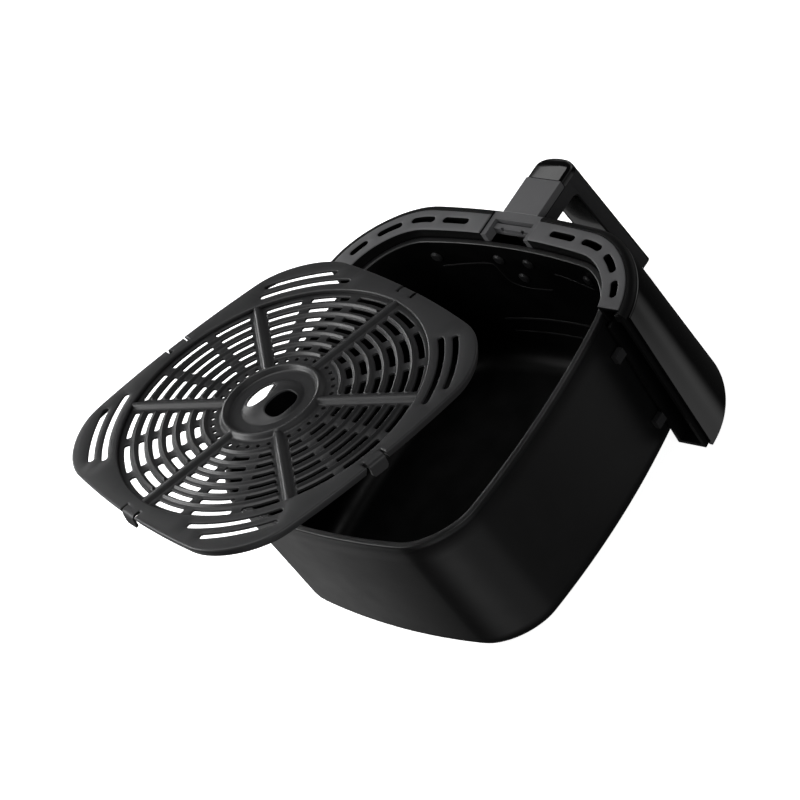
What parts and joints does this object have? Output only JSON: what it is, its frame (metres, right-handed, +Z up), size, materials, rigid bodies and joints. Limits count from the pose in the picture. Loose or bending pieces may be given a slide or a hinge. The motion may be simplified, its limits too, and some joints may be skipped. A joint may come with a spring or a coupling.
{
  "type": "air fryer drawer with crisper plate",
  "caption": "Air fryer drawer: bowed-square non-stick pan, slotted rim trim, glossy curved front panel, L-shaped handle, and a perforated crisper plate lifted clear above it.",
  "frame": {"origin": "centre of the pan's flat underside, on the surface it stands on", "axes": "+Z up, -Y towards the handle and front panel, +Y towards the back of the drawer, +X to the drawer's right seen from the handle end"},
  "size_m": [0.2538, 0.3722, 0.2221],
  "materials": {
    "pan_coating": "matt black non-stick coating on aluminium",
    "plate_coating": "satin dark grey non-stick coating on aluminium",
    "trim_plastic": "fine-textured dark grey plastic",
    "frame_plastic": "matt black plastic",
    "gloss_skin": "polished black plastic",
    "grip_plastic": "satin dark grey plastic",
    "steel": "plain zinc-plated steel"
  },
  "bodies": {
    "drawer": {"basket_pan": "pan_coating", "rim_trim_left": "trim_plastic", "rim_trim_right": "trim_plastic", "trim_bridge": "trim_plastic", "latch_plate": "trim_plastic", "front_frame": "frame_plastic", "front_skin": "gloss_skin", "handle_body": "grip_plastic", "handle_top_cover": "grip_plastic", "handle_cap": "gloss_skin", "handle_liner": "gloss_skin", "handle_bracket": "steel", "bracket_screw_upper": "steel", "bracket_screw_lower": "steel", "pan_screw_1": "steel", "pan_screw_2": "steel", "pan_screw_3": "steel", "pan_screw_4": "steel", "pan_screw_5": "steel", "side_clip_left_upper": "frame_plastic", "side_clip_left_lower": "frame_plastic", "side_clip_right_upper": "frame_plastic", "side_clip_right_lower": "frame_plastic"},
    "crisper": {"crisper_plate": "plate_coating"}
  },
  "joints": [
    {"name": "plate_lift", "type": "slide", "parent": "drawer", "child": "crisper", "axis": [0, 0, 1], "range_m": [-0.06, 0.08]}
  ]
}
